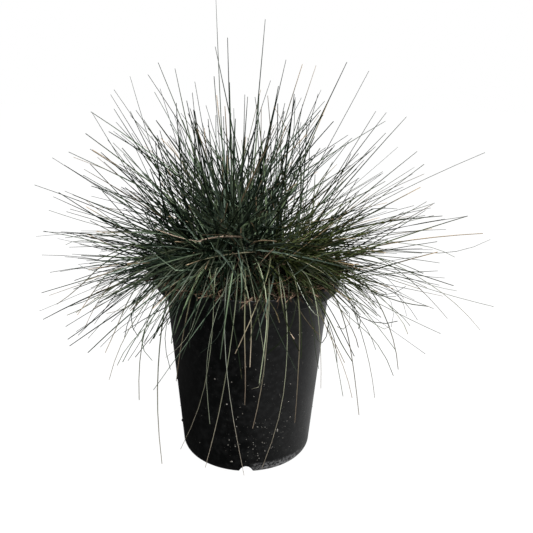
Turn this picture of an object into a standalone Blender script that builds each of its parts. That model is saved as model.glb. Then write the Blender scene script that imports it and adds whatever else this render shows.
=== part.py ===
"""Potted blue fescue clump: a tussock of stiff, hair-fine grass leaves in a black nursery pot.

Metres, +Z up. The origin is the middle of the pot's base, on the surface it stands on, and -Y is the
front. The pot and its soil are turned shapes cut by four drainage channels. The crown is two low domes
grown together, and every leaf springs square from one of them: its tip is placed by a direction and a
distance from the dome's own centre, called its heart, so that the leaves fan out like a hedgehog's spines.
"""
import math

import bmesh
import bpy
import numpy as np
from mathutils import Matrix, Vector

MM = 0.001
GAP = 0.3 * MM                      # clearance left between pieces that touch

# Pot: a 165 mm nursery pot
RIM_RADIUS = 82.5 * MM
POT_HEIGHT = 174.5 * MM
COLLAR_HEIGHT = 12 * MM             # the wide band round the rim
BODY_TOP_RADIUS = 73.5 * MM         # just under the collar
BASE_RADIUS = 59.6 * MM             # where the rounded bottom edge starts
BASE_ROUND = 10.0 * MM              # radius of that bottom edge
WALL = 1.3 * MM
LIP_ROUND = 0.6 * MM
COLLAR_TAPER = 0.4 * MM
POT_STEPS = 36                      # facets round the pot and the soil
EDGE_STEPS = 4                      # facets down the rounded bottom edge

# Drainage channels pressed into the base, with a hole in the roof of each
CHANNEL_HALF_WIDTH = 6.3 * MM
CHANNEL_HEIGHT = 9.2 * MM
CHANNEL_START = 22 * MM             # distance from the pot's axis
CHANNEL_AZIMUTHS = (270, 0, 90, 180)
CHANNEL_STEPS = 12                  # facets round the whole bar whose upper half is the channel
DRAIN_RADIUS = 3.0 * MM
DRAIN_DISTANCE = 36 * MM
DRAIN_STEPS = 10

# Soil, and the two domes of the crown on it
SOIL_HEIGHT = 158 * MM
MAIN_DOME = (Vector((-12 * MM, 0, SOIL_HEIGHT - 14 * MM)), 54 * MM)    # heart, radius
SIDE_DOME = (Vector((16 * MM, -6 * MM, SOIL_HEIGHT - 8 * MM)), 40 * MM)
DOME_STEPS = 18

# Leaves
SHEATH_RADIUS = 3.2 * MM            # the short stub that a tuft's leaves part from
SHEATH_LENGTH = 13 * MM
SHEATH_TOP = 0.6                    # its radius at the top, as a share of the radius at its foot
SHEATH_STEPS = 5
LEAF_RADIUS = 2.0 * MM              # at the foot of a leaf
TRAIL_RADIUS = 1.1 * MM
TIP_RADIUS = 0.40 * MM
FULLNESS = 1.5                      # a higher power keeps a leaf thick for more of its length
ARCH = 0.30                         # share of its span that a leaf keeps its first direction for
LEAF_POINTS = 5
TRAIL_POINTS = 7
TRAIL_LEAN = 44                     # lean, in degrees, at which a trailing leaf leaves the crown
TRAIL_RISE = 32 * MM                # how far it keeps that direction
TRAIL_LIFT = 42 * MM                # height of its arch's outer corner over the rim
TRAIL_REACH = 28 * MM               # how far that corner stands outside the rim

# A tuft's shorter leaves: degrees sideways and outwards from the long one, and their share of its length.
# One that would touch a neighbour is nudged sideways and outwards by a few degrees.
SHORTER_LEAVES = ((-7, -2, 0.92), (6, -3, 0.82), (1, 7, 0.87))
NUDGES = sorted(((i, j) for i in range(-8, 9, 2) for j in range(-8, 9, 2)), key=lambda n: n[0]**2 + n[1]**2)
FEW_NUDGES = 45

# Tufts: azimuth, lean of the longest tip, its distance in mm, and lean of the sheath, all seen from the
# heart, in degrees, with azimuth 0 to the right, 90 to the back and lean 0 straight up.
MAIN_TUFTS = (
    (155, 4, 259, 6), (262, 10, 233, 10), (20, 6, 245, 8),
    (145, 18, 212, 22), (95, 24, 205, 20), (118, 12, 200, 14), (224, 14, 193, 22), (270, 26, 178, 26),
    (163, 34, 201, 34), (208, 28, 196, 32), (118, 40, 195, 34), (78, 44, 190, 38), (245, 40, 180, 34),
    (292, 44, 172, 34),
    (148, 52, 195, 44), (176, 60, 204, 46), (192, 48, 191, 40), (214, 56, 183, 44), (96, 63, 205, 50),
    (159, 76, 187, 56), (184, 68, 178, 57), (199, 75, 165, 54), (238, 84, 188, 52), (260, 82, 186, 54),
    (17, 19, 219, 20), (52, 18, 197, 20), (306, 20, 194, 22), (6, 29, 233, 32),
)
SIDE_TUFTS = (
    (345, 30, 194, 24), (22, 41, 207, 34), (359, 54, 227, 37), (38, 63, 216, 50), (321, 55, 186, 34),
    (348, 63, 189, 56), (13, 77, 217, 58),
)

# Single leaves that arch over the rim: azimuth at the rim, then the tip's azimuth, distance from the
# pot's axis and height
TRAILING_LEAVES = (
    (226, 228, 111, 26), (243, 230, 92, 98), (250, 237, 90, 33), (268, 251, 94, 32), (257, 269, 100, 28),
    (273, 271, 92, 84), (279, 275, 88, 62), (286, 283, 93, 28), (297, 295, 94, 64), (304, 309, 98, 95),
    (312, 315, 128, 78), (322, 323, 136, 87), (332, 336, 146, 100),
    (230, 230, 171, 131), (222, 222, 145, 134), (204, 206, 150, 143),
    (187, 185, 165, 138), (351, 354, 215, 127), (4, 12, 200, 111),
    (62, 58, 112, 96), (96, 99, 94, 58), (128, 124, 108, 84),
)
DRY_LEAVES = (2, 6, 7, 9, 11, 16, 21)          # the trailing leaves that have dried to straw

BLACK_PLASTIC = ("black_plastic", (0.012, 0.013, 0.014), 0.55)
POTTING_MIX = ("potting_mix", (0.035, 0.024, 0.016), 0.95)
OLD_SHEATHS = ("old_sheaths", (0.120, 0.080, 0.045), 0.90)
FESCUE_BLUE = ("fescue_blue", (0.085, 0.150, 0.110), 0.60)
FESCUE_OLIVE = ("fescue_olive", (0.070, 0.110, 0.040), 0.60)
STRAW = ("straw", (0.300, 0.215, 0.130), 0.80)

for old in list(bpy.data.objects):
    bpy.data.objects.remove(old, do_unlink=True)
PARTS = bpy.data.collections.new("potted_blue_fescue")
GUIDES = bpy.data.collections.new("cutters_and_leaf_blanks")
for collection in (PARTS, GUIDES):
    bpy.context.scene.collection.children.link(collection)


# ---------------------------------------------------------------- helpers

def material(name, colour, roughness):
    """Return the plain material of that name, made on first use."""
    made = bpy.data.materials.get(name)
    if made is None:
        made = bpy.data.materials.new(name)
        made.use_nodes = True
        shader = made.node_tree.nodes["Principled BSDF"]
        shader.inputs["Base Color"].default_value = (*colour, 1)
        shader.inputs["Roughness"].default_value = roughness
    return made


def add_part(name, mesh, finish):
    """Link a mesh as a named sub-part with its own material."""
    part = bpy.data.objects.new(name, mesh)
    part.data.materials.append(material(*finish))
    PARTS.objects.link(part)
    return part


def add_guide(name, mesh):
    """Link a mesh as a cutter or blank, which is no part of the object."""
    guide = bpy.data.objects.new(name, mesh)
    guide.display_type = "WIRE"
    guide.hide_render = True
    GUIDES.objects.link(guide)
    return guide


def boolean(part, operation, other):
    """Join a part with another object, or cut that object out of it."""
    modifier = part.modifiers.new(other.name, "BOOLEAN")
    modifier.operation = operation
    modifier.solver = "EXACT"
    modifier.object = other


def rotation(axis, degrees):
    """Return the rotation about X, Y or Z by an angle in degrees."""
    return Matrix.Rotation(math.radians(degrees), 3, axis)


def finished(maker, name):
    """Turn a bmesh into a mesh and free it."""
    mesh = bpy.data.meshes.new(name)
    maker.to_mesh(mesh)
    maker.free()
    return mesh


def direction(azimuth, lean, sideways=0):
    """Return the unit vector that leans towards an azimuth, nudged sideways, all in degrees."""
    level = Vector((math.cos(math.radians(azimuth)), math.sin(math.radians(azimuth)), 0))
    aside = Vector((-level.y, level.x, 0)) * math.tan(math.radians(sideways))
    leant = math.radians(lean)
    return (level * math.sin(leant) + Vector((0, 0, math.cos(leant))) + aside).normalized()


# ---------------------------------------------------------------- pot and soil

COLLAR_FOOT = POT_HEIGHT - COLLAR_HEIGHT


def wall_radius(height, inset):
    """Return the radius of the tapered body at a height, less an inset."""
    share = (height - BASE_ROUND) / (COLLAR_FOOT - BASE_ROUND)
    return BASE_RADIUS + (BODY_TOP_RADIUS - BASE_RADIUS) * share - inset


def bottom_edge(inset):
    """Return the outline of the rounded bottom edge, moved inwards by an inset, ending on the axis."""
    arc_radius = BASE_ROUND - inset
    angles = [math.pi / 2 * step / EDGE_STEPS for step in range(EDGE_STEPS + 1)]
    middle = BASE_RADIUS - BASE_ROUND
    arc = [(middle + arc_radius * math.cos(angle), BASE_ROUND - arc_radius * math.sin(angle))
           for angle in angles]
    return arc + [(0, inset)]


POT_OUTSIDE = [
    (RIM_RADIUS - LIP_ROUND, POT_HEIGHT),
    (RIM_RADIUS, POT_HEIGHT - LIP_ROUND),
    (RIM_RADIUS - COLLAR_TAPER, COLLAR_FOOT + LIP_ROUND),
    (RIM_RADIUS - COLLAR_TAPER - LIP_ROUND, COLLAR_FOOT),
    (BODY_TOP_RADIUS + WALL, COLLAR_FOOT),
    (BODY_TOP_RADIUS, COLLAR_FOOT - WALL),
] + bottom_edge(0)
POT_INSIDE = [
    (RIM_RADIUS - WALL, POT_HEIGHT),
    (RIM_RADIUS - COLLAR_TAPER - WALL, COLLAR_FOOT + WALL),
    (wall_radius(COLLAR_FOOT, WALL), COLLAR_FOOT + WALL),
] + bottom_edge(WALL)
MID_WALL = [
    (0, 2 * BASE_ROUND),
    (wall_radius(2 * BASE_ROUND, WALL / 2), 2 * BASE_ROUND),
] + bottom_edge(WALL / 2)
SOIL_OUTSIDE = [
    (0, SOIL_HEIGHT),
    (wall_radius(SOIL_HEIGHT, WALL + GAP), SOIL_HEIGHT),
] + bottom_edge(WALL + GAP)


def outline_mesh(mesh_name, outline):
    """Return a mesh that is only an outline of (radius, height) points, ready to be turned about Z.

    It starts and ends on the axis and runs down the outer side.
    """
    mesh = bpy.data.meshes.new(mesh_name)
    points = [(radius, 0, height) for radius, height in outline]
    mesh.from_pydata(points, [(i, i + 1) for i in range(len(points) - 1)], [])
    return mesh


def turn(body):
    """Turn an object's outline into a solid."""
    screw = body.modifiers.new("turned", "SCREW")
    screw.steps = POT_STEPS
    screw.render_steps = POT_STEPS
    screw.use_merge_vertices = True
    screw.merge_threshold = 0.02 * MM
    screw.use_smooth_shade = True


def channel(azimuth, growth):
    """Return one drainage channel as a lying half-round bar, made larger all round by a growth."""
    name = f"channel_{azimuth:03d}_{growth / MM:.1f}"
    inner_end = CHANNEL_START - growth
    length = RIM_RADIUS - inner_end
    maker = bmesh.new()
    bmesh.ops.create_cone(maker, cap_ends=True, segments=CHANNEL_STEPS, radius1=1, radius2=1, depth=1)
    bmesh.ops.rotate(maker, verts=maker.verts, matrix=rotation("Y", 90))
    bmesh.ops.scale(maker, verts=maker.verts,
                    vec=(length, CHANNEL_HALF_WIDTH + growth, CHANNEL_HEIGHT + growth))
    bmesh.ops.translate(maker, verts=maker.verts, vec=(inner_end + length / 2, 0, 0))
    bmesh.ops.rotate(maker, verts=maker.verts, matrix=rotation("Z", azimuth))
    return add_guide(name, finished(maker, name))


def drain(azimuth):
    """Return the cutter of the hole in one channel's roof."""
    name = f"drain_{azimuth:03d}"
    maker = bmesh.new()
    bmesh.ops.create_cone(maker, cap_ends=True, segments=DRAIN_STEPS, radius1=DRAIN_RADIUS,
                          radius2=DRAIN_RADIUS, depth=2 * BASE_ROUND)
    bmesh.ops.translate(maker, verts=maker.verts, vec=(DRAIN_DISTANCE, 0, 0))
    bmesh.ops.rotate(maker, verts=maker.verts, matrix=rotation("Z", azimuth))
    return add_guide(name, finished(maker, name))


def build_pot():
    """Turn the pot's wall, raise the covers of the channels inside it, then cut the channels and drains."""
    outline = POT_INSIDE[::-1] + POT_OUTSIDE
    pot = add_part("nursery_pot", outline_mesh("nursery_pot", outline), BLACK_PLASTIC)
    turn(pot)
    mid_wall = add_guide("mid_wall", outline_mesh("mid_wall", MID_WALL))
    turn(mid_wall)
    for azimuth in CHANNEL_AZIMUTHS:
        cover = channel(azimuth, WALL)
        boolean(cover, "INTERSECT", mid_wall)
        boolean(pot, "UNION", cover)
    for azimuth in CHANNEL_AZIMUTHS:
        boolean(pot, "DIFFERENCE", channel(azimuth, 0))
        boolean(pot, "DIFFERENCE", drain(azimuth))


def build_soil():
    """Fill the pot to below its rim, round the channels."""
    soil = add_part("potting_soil", outline_mesh("potting_soil", SOIL_OUTSIDE), POTTING_MIX)
    turn(soil)
    for azimuth in CHANNEL_AZIMUTHS:
        boolean(soil, "DIFFERENCE", channel(azimuth, WALL + GAP))


# ---------------------------------------------------------------- crown

def dome_mesh(name, dome):
    """Return the whole ball of a dome, round its heart."""
    heart, radius = dome
    maker = bmesh.new()
    bmesh.ops.create_uvsphere(maker, u_segments=DOME_STEPS, v_segments=DOME_STEPS // 2, radius=radius)
    bmesh.ops.translate(maker, verts=maker.verts, vec=heart)
    for face in maker.faces:
        face.smooth = True
    return finished(maker, name)


def build_crown():
    """Grow the two domes together and cut them off flat on the soil."""
    crown = add_part("crown", dome_mesh("crown", MAIN_DOME), OLD_SHEATHS)
    side = add_guide("side_dome", dome_mesh("side_dome", SIDE_DOME))
    maker = bmesh.new()
    bmesh.ops.create_cube(maker, size=4 * RIM_RADIUS)
    bmesh.ops.translate(maker, verts=maker.verts, vec=(0, 0, SOIL_HEIGHT + GAP - 2 * RIM_RADIUS))
    below = add_guide("below_the_soil_line", finished(maker, "below_the_soil_line"))
    boolean(crown, "UNION", side)
    boolean(crown, "DIFFERENCE", below)


# ---------------------------------------------------------------- leaf lines

def bezier(corners, count):
    """Return points along the Bezier curve of a list of corners."""
    degree = len(corners) - 1
    share = np.linspace(0, 1, count)[:, None]
    return sum(math.comb(degree, i) * share ** i * (1 - share) ** (degree - i) * np.array(corner)
               for i, corner in enumerate(corners))


def tuft_leaf(dome, root, tip_direction, distance):
    """Return the line of a leaf that springs from a dome along root and ends at a distance from it."""
    heart, radius = dome
    foot = heart + root * (radius + GAP + SHEATH_RADIUS)
    tip = heart + tip_direction * distance
    knee = foot + root * ARCH * (tip - foot).length
    return bezier((foot, knee, tip), LEAF_POINTS)


def trailing_leaf(rim_azimuth, tip_azimuth, tip_distance, tip_height):
    """Return the line of a leaf that arches over the rim and hangs outside the pot."""
    tip = direction(tip_azimuth, 90) * tip_distance * MM
    tip.z = tip_height * MM
    corner = direction(rim_azimuth, 90) * (RIM_RADIUS + TRAIL_REACH)
    corner.z = POT_HEIGHT + TRAIL_LIFT
    heart, radius = SIDE_DOME if corner.x > SIDE_DOME[0].x else MAIN_DOME
    outward = corner - heart
    root = direction(math.degrees(math.atan2(outward.y, outward.x)), TRAIL_LEAN)
    foot = heart + root * (radius + GAP + TRAIL_RADIUS)
    return bezier((foot, foot + root * TRAIL_RISE, corner, tip), TRAIL_POINTS)


def segment_gaps(a, b, c, d):
    """Return the distances between the segments a-b and the segments c-d, given as arrays of their ends."""
    along, across, between = b - a, d - c, a - c
    aa, cc, ac = ((u * v).sum(-1) for u, v in ((along, along), (across, across), (along, across)))
    ab, cb = (along * between).sum(-1), (across * between).sum(-1)
    s = np.clip((ac * cb - ab * cc) / np.maximum(aa * cc - ac * ac, 1e-18), 0, 1)
    t = np.clip((ac * s + cb) / cc, 0, 1)
    s = np.clip((ac * t - ab) / aa, 0, 1)
    nearest = between + along * s[..., None] - across * t[..., None]
    return np.sqrt((nearest * nearest).sum(-1))


def clears_pot_and_crown(line, radius):
    """Tell whether a leaf's line passes outside the pot's wall and above both domes."""
    shares = np.linspace(0, 1, 6)[:, None, None]
    fine = (line[:-1] + (line[1:] - line[:-1]) * shares).reshape(-1, 3)
    side_view = np.stack([np.hypot(fine[:, 0], fine[:, 1]), fine[:, 2]], -1)[:, None]
    wall = np.array(POT_OUTSIDE[1:])[None]
    to_wall = segment_gaps(side_view, side_view + [0, 1e-6], wall[:, :-1], wall[:, 1:]).min()
    over_domes = all(np.linalg.norm(fine - np.array(heart), axis=1).min() > dome_radius + GAP
                     for heart, dome_radius in (MAIN_DOME, SIDE_DOME))
    return over_domes and to_wall > radius + WALL


class Clump:
    """The leaves that stand so far, as (tuft, line, radius)."""

    def __init__(self):
        self.leaves = []

    def add(self, tuft, line, radius):
        """Let a leaf or a sheath stand."""
        self.leaves.append((tuft, np.array(line), radius))

    def has_room(self, tuft, line, radius):
        """Tell whether a leaf touches neither the pot, the crown nor another tuft."""
        return clears_pot_and_crown(line, radius) and all(
            (segment_gaps(line[:-1, None], line[1:, None], other[None, :-1], other[None, 1:])
             > radius + other_radius + GAP).all()
            for owner, other, other_radius in self.leaves if owner != tuft)

    def grow(self, tuft, candidates, radius):
        """Add the first candidate line that has room, and return it, or None."""
        for line in candidates:
            if self.has_room(tuft, line, radius):
                self.add(tuft, line, radius)
                return line
        return None


def grow_leaves():
    """Return {tuft name: (dome, root, leaf lines)} and {trailing leaf name: line}, all clear of each other.

    The long leaves come first, then the trailing ones, then each tuft's shorter leaves. One that would
    touch another tuft is nudged a few degrees, and a shorter one that finds no room is left out.
    """
    clump, tufts, trailing = Clump(), {}, {}
    entries = [(MAIN_DOME, *entry) for entry in MAIN_TUFTS] + [(SIDE_DOME, *entry) for entry in SIDE_TUFTS]
    for number, (dome, azimuth, _, _, root_lean) in enumerate(entries, 1):
        name = f"leaf_tuft_{number:02d}"
        root = direction(azimuth, root_lean)
        foot = dome[0] + root * (dome[1] + GAP)
        clump.add(name, (foot, foot + root * SHEATH_LENGTH), SHEATH_RADIUS)
        tufts[name] = (dome, root, [])
    for name, (dome, azimuth, lean, distance, _) in zip(tufts, entries):
        root, lines = tufts[name][1:]
        lines.append(clump.grow(name, (
            tuft_leaf(dome, root, direction(azimuth, lean + out, aside), distance * MM)
            for aside, out in NUDGES), LEAF_RADIUS))
    for number, (rim_azimuth, tip_azimuth, tip_distance, tip_height) in enumerate(TRAILING_LEAVES, 1):
        name = f"trailing_leaf_{number:02d}"
        trailing[name] = clump.grow(name, (
            trailing_leaf(rim_azimuth + aside, tip_azimuth + aside / 2, tip_distance + out, tip_height)
            for aside, out in NUDGES), TRAIL_RADIUS)
    for side_turn, outward, share in SHORTER_LEAVES:
        for name, (dome, azimuth, lean, distance, _) in zip(tufts, entries):
            root, lines = tufts[name][1:]
            line = clump.grow(name, (
                tuft_leaf(dome, root, direction(azimuth, lean + outward + out, side_turn + aside),
                          distance * share * MM) for aside, out in NUDGES[:FEW_NUDGES]), LEAF_RADIUS)
            if line is not None:
                lines.append(line)
    return tufts, trailing


# ---------------------------------------------------------------- leaf solids

def three_sided_section():
    """Return the closed curve that gives a leaf its three-sided section, one unit in radius."""
    section = bpy.data.curves.new("leaf_section", "CURVE")
    section.dimensions = "2D"
    spline = section.splines.new("POLY")
    spline.points.add(2)
    for point, angle in zip(spline.points, (90, 210, 330)):
        point.co = (math.cos(math.radians(angle)), math.sin(math.radians(angle)), 0, 1)
    spline.use_cyclic_u = True
    guide = bpy.data.objects.new("leaf_section", section)
    guide.hide_render = True
    guide.display_type = "WIRE"
    GUIDES.objects.link(guide)
    return guide


def leaf_curve(name, line, foot_radius, section):
    """Return a curve object that tapers along a line from its foot to a fine tip."""
    curve = bpy.data.curves.new(name, "CURVE")
    curve.dimensions = "3D"
    curve.bevel_mode = "OBJECT"
    curve.bevel_object = section
    curve.use_fill_caps = True
    spline = curve.splines.new("POLY")
    spline.points.add(len(line) - 1)
    share = np.linspace(0, 1, len(line))
    radii = TIP_RADIUS + (foot_radius - TIP_RADIUS) * (1 - share ** FULLNESS)
    for point, place, radius in zip(spline.points, line, radii):
        point.co = (*place, 1)
        point.radius = radius
    blank = bpy.data.objects.new(name, curve)
    GUIDES.objects.link(blank)
    return blank


def as_meshes(curves):
    """Turn curve objects into meshes with welded caps, remove the curves, and return {name: mesh}."""
    bpy.context.view_layer.update()
    graph = bpy.context.evaluated_depsgraph_get()
    meshes = {}
    for blank in curves:
        mesh = bpy.data.meshes.new_from_object(blank.evaluated_get(graph))
        maker = bmesh.new()
        maker.from_mesh(mesh)
        bmesh.ops.remove_doubles(maker, verts=maker.verts, dist=0.01 * MM)
        bmesh.ops.recalc_face_normals(maker, faces=maker.faces)
        maker.to_mesh(mesh)
        maker.free()
        meshes[blank.name] = mesh
    for blank in curves:
        bpy.data.objects.remove(blank, do_unlink=True)
    return meshes


def sheath(name, dome, root, finish):
    """Return the stub that a tuft's leaves part from, standing square on its dome."""
    heart, radius = dome
    maker = bmesh.new()
    bmesh.ops.create_cone(maker, cap_ends=True, segments=SHEATH_STEPS, radius1=SHEATH_RADIUS,
                          radius2=SHEATH_TOP * SHEATH_RADIUS, depth=SHEATH_LENGTH)
    bmesh.ops.translate(maker, verts=maker.verts, vec=(0, 0, SHEATH_LENGTH / 2))
    stub = add_part(name, finished(maker, name), finish)
    stub.location = heart + root * (radius + GAP)
    stub.rotation_mode = "QUATERNION"
    stub.rotation_quaternion = root.to_track_quat("Z", "Y")
    return stub


def build_leaves():
    """Make every leaf as a tapered curve, then fuse each tuft's leaves with its sheath."""
    tufts, trailing = grow_leaves()
    section = three_sided_section()
    blanks = []
    for name, (_, _, lines) in tufts.items():
        blanks += [leaf_curve(f"{name}.leaf_{i}", line, LEAF_RADIUS, section)
                   for i, line in enumerate(lines)]
    blanks += [leaf_curve(f"{name}.blank", line, TRAIL_RADIUS, section) for name, line in trailing.items()]
    meshes = as_meshes(blanks)
    for name, (dome, root, lines) in tufts.items():
        stub = sheath(name, dome, root, FESCUE_OLIVE if dome is SIDE_DOME else FESCUE_BLUE)
        for i in range(len(lines)):
            boolean(stub, "UNION", add_guide(f"{name}.leaf_{i}", meshes[f"{name}.leaf_{i}"]))
    for number, name in enumerate(trailing, 1):
        add_part(name, meshes[f"{name}.blank"], STRAW if number in DRY_LEAVES else FESCUE_BLUE)


build_pot()
build_soil()
build_crown()
build_leaves()
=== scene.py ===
# %% [markdown]
# # A potted blue fescue clump
#
# Blue fescue is a small tussock grass. Hundreds of stiff leaves, each folded lengthways to about a
# millimetre across, stand out of one crown like the spines of a hedgehog. This one grows in a black
# nursery pot, with dead leaves caught round its crown and a few long leaves hanging over the rim.
#
# The solids of the clump, all at their real size, are packed already. This lesson loads them as a fixed
# frame and dresses them: every solid is replaced by a finer surface in the same place. First come the
# frame and its box, which the dressed clump has to stay in.

# %% Load the frame
import math

import bpy
import numpy as np
from mathutils import Matrix, Vector


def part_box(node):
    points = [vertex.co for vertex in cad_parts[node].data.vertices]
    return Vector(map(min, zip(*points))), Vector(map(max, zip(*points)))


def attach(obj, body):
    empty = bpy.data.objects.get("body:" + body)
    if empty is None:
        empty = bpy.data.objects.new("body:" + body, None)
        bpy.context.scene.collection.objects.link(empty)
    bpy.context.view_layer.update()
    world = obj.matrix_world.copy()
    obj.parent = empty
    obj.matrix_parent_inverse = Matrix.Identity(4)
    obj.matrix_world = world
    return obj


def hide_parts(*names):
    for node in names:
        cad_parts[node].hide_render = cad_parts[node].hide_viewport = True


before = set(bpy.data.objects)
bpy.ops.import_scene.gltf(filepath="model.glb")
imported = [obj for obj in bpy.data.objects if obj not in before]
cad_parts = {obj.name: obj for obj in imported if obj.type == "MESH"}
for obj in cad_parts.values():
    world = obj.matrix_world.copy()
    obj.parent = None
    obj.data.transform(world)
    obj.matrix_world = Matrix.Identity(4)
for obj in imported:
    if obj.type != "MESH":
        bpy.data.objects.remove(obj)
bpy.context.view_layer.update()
BODY = "root"
MM = 0.001

# %% [markdown]
# ## Measures
#
# The pot's size comes from its solid. The shapes that a box can't tell, such as the width of a drainage
# channel, are real sizes, written once here. The crown is two low domes grown together. A dome's centre is
# called its heart, because every leaf points away from it.

# %% Pot and crown
pot_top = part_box("nursery_pot")[1]
RIM_RADIUS = pot_top.x
POT_HEIGHT = pot_top.z
SOIL_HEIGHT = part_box("potting_soil")[1].z
COLLAR_HEIGHT = 12 * MM
COLLAR_FOOT = POT_HEIGHT - COLLAR_HEIGHT
COLLAR_TAPER = 0.4 * MM
BODY_TOP_RADIUS = 73.5 * MM
BASE_RADIUS = 59.6 * MM
BASE_ROUND = 10.0 * MM
WALL = 1.3 * MM
GAP = 0.3 * MM

MAIN_DOME = (np.array([-12, 0, 144]) * MM, 54 * MM)
SIDE_DOME = (np.array([16, -6, 150]) * MM, 40 * MM)
print("pot:", round(2 * RIM_RADIUS / MM), "mm across,", round(POT_HEIGHT / MM, 1), "mm high")

# %% [markdown]
# ## Where the leaves point
#
# A tuft is a sheaf of leaves. Its longest leaf has a tip at an azimuth (0 to the right, 90 to the back),
# a lean from straight up and a distance in millimetres, all seen from the heart of its dome, and it leaves
# the dome at a lean of its own. A trailing leaf arches over the rim at one azimuth and ends at another, at
# a distance from the pot's axis and a height; its last number is how far it bows sideways. The other numbers
# repeat the tables of the solids, but the fifth trailing leaf crosses the rim 4 degrees further right.

# %% Tables of leaves
MAIN_TUFTS = (
    (155, 4, 259, 6), (262, 10, 233, 10), (20, 6, 245, 8),
    (145, 18, 212, 22), (95, 24, 205, 20), (118, 12, 200, 14), (224, 14, 193, 22), (270, 26, 178, 26),
    (163, 34, 201, 34), (208, 28, 196, 32), (118, 40, 195, 34), (78, 44, 190, 38), (245, 40, 180, 34),
    (292, 44, 172, 34),
    (148, 52, 195, 44), (176, 60, 204, 46), (192, 48, 191, 40), (214, 56, 183, 44), (96, 63, 205, 50),
    (159, 76, 187, 56), (184, 68, 178, 57), (199, 75, 165, 54), (238, 84, 188, 52), (260, 82, 186, 54),
    (17, 19, 219, 20), (52, 18, 197, 20), (306, 20, 194, 22), (6, 29, 233, 32),
)
SIDE_TUFTS = (
    (345, 30, 194, 24), (22, 41, 207, 34), (359, 54, 227, 37), (38, 63, 216, 50), (321, 55, 186, 34),
    (348, 63, 189, 56), (13, 77, 217, 58),
)
TRAILING_LEAVES = (
    (226, 228, 111, 26, 0), (243, 230, 92, 98, 4), (250, 237, 90, 33, 13), (268, 251, 94, 32, 2),
    (261, 269, 100, 28, -7), (273, 271, 92, 84, -5), (279, 275, 88, 62, 3), (286, 283, 93, 28, 7),
    (297, 295, 94, 64, -1), (304, 309, 98, 95, -2), (312, 315, 128, 78, 3), (322, 323, 136, 87, -4),
    (332, 336, 146, 100, 5), (230, 230, 171, 131, 6), (222, 222, 145, 134, -5), (204, 206, 150, 143, 3),
    (187, 185, 165, 138, -4), (351, 354, 215, 127, 4), (4, 12, 200, 111, -5),
    (62, 58, 112, 96, 6), (96, 99, 94, 58, -6), (128, 124, 108, 84, 4),
)
DRY_LEAVES = (2, 6, 7, 9, 11, 16, 21)
print("tufts:", len(MAIN_TUFTS) + len(SIDE_TUFTS), "- trailing leaves:", len(TRAILING_LEAVES))

# %% [markdown]
# ## Vectors, grids and pieces
#
# Every surface below is worked out as one whole array of points. A few helpers are enough for that: unit
# vectors, the four-sided faces between the rows of a grid, and a function that puts arrays into a mesh
# object, marks its points with values that the materials read, and hangs it in the frame.

# %% Arrays
def unit(vectors):
    """Divide each vector by its length."""
    return vectors / np.linalg.norm(vectors, axis=-1, keepdims=True)


def grid_quads(rows, columns):
    """Faces of a grid whose rows close into rings and run down the outer side, so that they point out."""
    row, column = np.meshgrid(np.arange(rows - 1), np.arange(columns), indexing="ij")
    here = row * columns + column
    beside = row * columns + (column + 1) % columns
    return np.stack([here, here + columns, beside + columns, beside], -1).reshape(-1, 4)


def rumple(points, wave_length, seed, waves=24):
    """Soft random bumps between about -1 and 1: the sum of sine waves that run in random directions."""
    random = np.random.default_rng(seed)
    ways = unit(random.normal(size=(waves, 3)))
    lengths = wave_length * random.uniform(0.7, 1.5, (waves, 1))
    phases = points @ (ways * math.tau / lengths).T + random.uniform(0, math.tau, waves)
    return np.sin(phases).sum(-1) / math.sqrt(waves)


print("one ring of four faces:", grid_quads(2, 4).tolist())


# %% Pieces
def add_piece(name, points, faces, finish, slot, nodes=(), sharp_angle=40, **marks):
    """Make a mesh object from arrays of points and faces, with one value per point for every mark."""
    mesh = bpy.data.meshes.new(name)
    mesh.from_pydata(np.reshape(points, (-1, 3)).tolist(), [], [list(face) for face in faces])
    for mark, values in marks.items():
        layer = mesh.attributes.new(mark, "FLOAT", "POINT")
        layer.data.foreach_set("value", np.ravel(values).astype(np.float32))
    mesh.shade_smooth()
    mesh.set_sharp_from_angle(angle=math.radians(sharp_angle))
    mesh.materials.append(finish)
    piece = bpy.data.objects.new(name, mesh)
    bpy.context.scene.collection.objects.link(piece)
    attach(piece, BODY)
    if nodes:
        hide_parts(*nodes)
    return piece


# %% [markdown]
# ## Finishes
#
# All finishes are node materials. A small function adds a node, sets its values and links its inputs, so
# that a material reads like a list. What several materials share becomes a node group: patches that change
# slowly over a surface, a fine grain that only tips the light, and the tints of a grass leaf.

# %% Node helpers
def fill(tree, node, inputs):
    """Link each input of a node to a socket, or set it to a value."""
    for socket, value in dict(inputs).items():
        if isinstance(value, bpy.types.NodeSocket):
            tree.links.new(value, node.inputs[socket])
        else:
            node.inputs[socket].default_value = value
    return node


def add_node(tree, kind, inputs=(), **settings):
    """Add a node, give it its settings, then its inputs."""
    node = tree.nodes.new(kind)
    for setting, value in settings.items():
        setattr(node, setting, value)
    return fill(tree, node, inputs)


def mixed(tree, share, first, second):
    """Add a colour Mix node and return its colour. Its share and colours are inputs 0, 6 and 7."""
    return add_node(tree, "ShaderNodeMix", {0: share, 6: first, 7: second}, data_type="RGBA").outputs[2]


def mapped(tree, value, low, high, to_low=0.0, to_high=1.0):
    """Add a Map Range node that takes low to to_low and high to to_high, and return its result."""
    inputs = {"Value": value, "From Min": low, "From Max": high, "To Min": to_low, "To Max": to_high}
    return add_node(tree, "ShaderNodeMapRange", inputs).outputs["Result"]


def reckoned(tree, operation, first, second):
    """Add a clamped Math node and return its value."""
    return add_node(tree, "ShaderNodeMath", {0: first, 1: second}, operation=operation,
                    use_clamp=True).outputs[0]


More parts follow.
